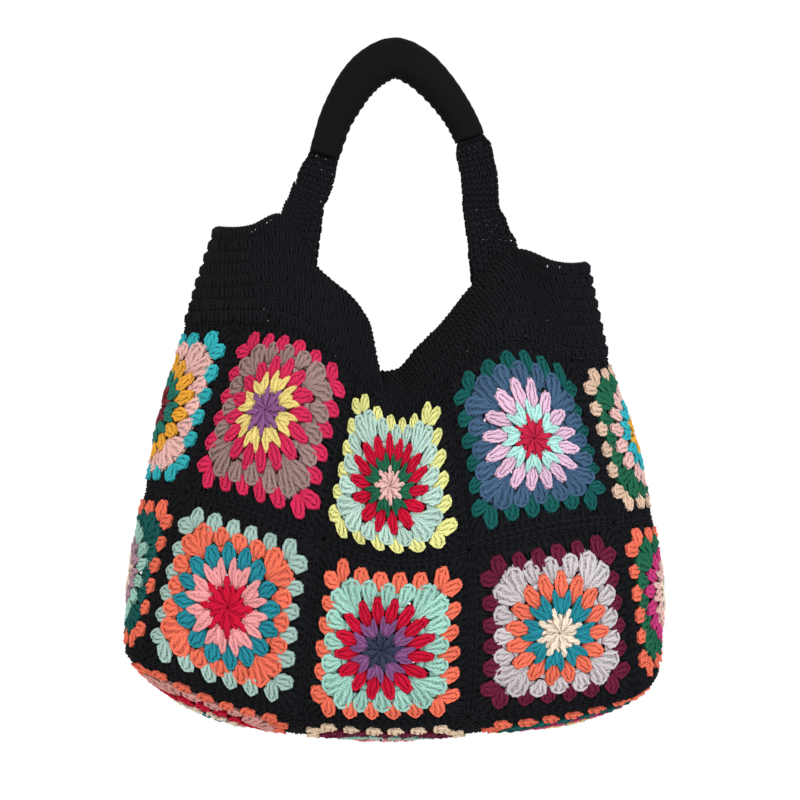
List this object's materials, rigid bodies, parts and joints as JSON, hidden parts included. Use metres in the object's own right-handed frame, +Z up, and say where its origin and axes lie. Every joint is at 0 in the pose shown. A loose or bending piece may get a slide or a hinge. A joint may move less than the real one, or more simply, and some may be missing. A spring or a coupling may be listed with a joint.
{
  "type": "crocheted granny-square shoulder bag",
  "caption": "Soft open-topped shoulder bag of crocheted granny squares, with a black crocheted yoke and straps held in a padded handle sleeve, shown hanging.",
  "frame": {"origin": "under the top of the handle sleeve, where the hook or shoulder carries the hanging bag", "axes": "+Z up along the hanging bag, its longest extent; -Y out of the front; +X to the right as seen from the front; +Y is the shortest extent"},
  "size_m": [0.4093, 0.2206, 0.5333],
  "materials": {
    "front_upper_left_yarns": "crocheted cotton yarn in several plain colours, matt, with a black outer round",
    "front_upper_middle_yarns": "crocheted cotton yarn in several plain colours, matt, with a black outer round",
    "front_upper_right_yarns": "crocheted cotton yarn in several plain colours, matt, with a black outer round",
    "front_lower_left_yarns": "crocheted cotton yarn in several plain colours, matt, with a black outer round",
    "front_lower_middle_yarns": "crocheted cotton yarn in several plain colours, matt, with a black outer round",
    "front_lower_right_yarns": "crocheted cotton yarn in several plain colours, matt, with a black outer round",
    "back_upper_left_yarns": "crocheted cotton yarn in several plain colours, matt, with a black outer round",
    "back_upper_middle_yarns": "crocheted cotton yarn in several plain colours, matt, with a black outer round",
    "back_upper_right_yarns": "crocheted cotton yarn in several plain colours, matt, with a black outer round",
    "back_lower_left_yarns": "crocheted cotton yarn in several plain colours, matt, with a black outer round",
    "back_lower_middle_yarns": "crocheted cotton yarn in several plain colours, matt, with a black outer round",
    "back_lower_right_yarns": "crocheted cotton yarn in several plain colours, matt, with a black outer round",
    "left_side_upper_yarns": "crocheted cotton yarn in several plain colours, matt, with a black outer round",
    "left_side_lower_yarns": "crocheted cotton yarn in several plain colours, matt, with a black outer round",
    "right_side_upper_yarns": "crocheted cotton yarn in several plain colours, matt, with a black outer round",
    "right_side_lower_yarns": "crocheted cotton yarn in several plain colours, matt, with a black outer round",
    "base_left_yarns": "crocheted cotton yarn in several plain colours, matt, with a black outer round",
    "base_middle_yarns": "crocheted cotton yarn in several plain colours, matt, with a black outer round",
    "base_right_yarns": "crocheted cotton yarn in several plain colours, matt, with a black outer round",
    "black_yarn": "crocheted black cotton yarn, matt",
    "sleeve_cloth": "smooth black cloth over padding, slight sheen"
  },
  "bodies": {
    "root": {"front_upper_left_square": "front_upper_left_yarns", "front_upper_middle_square": "front_upper_middle_yarns", "front_upper_right_square": "front_upper_right_yarns", "front_lower_left_square": "front_lower_left_yarns", "front_lower_middle_square": "front_lower_middle_yarns", "front_lower_right_square": "front_lower_right_yarns", "back_upper_left_square": "back_upper_left_yarns", "back_upper_middle_square": "back_upper_middle_yarns", "back_upper_right_square": "back_upper_right_yarns", "back_lower_left_square": "back_lower_left_yarns", "back_lower_middle_square": "back_lower_middle_yarns", "back_lower_right_square": "back_lower_right_yarns", "left_side_upper_square": "left_side_upper_yarns", "left_side_lower_square": "left_side_lower_yarns", "right_side_upper_square": "right_side_upper_yarns", "right_side_lower_square": "right_side_lower_yarns", "base_left_square": "base_left_yarns", "base_middle_square": "base_middle_yarns", "base_right_square": "base_right_yarns", "yoke": "black_yarn", "front_strap": "black_yarn", "back_strap": "black_yarn", "handle_sleeve": "sleeve_cloth"}
  },
  "joints": []
}
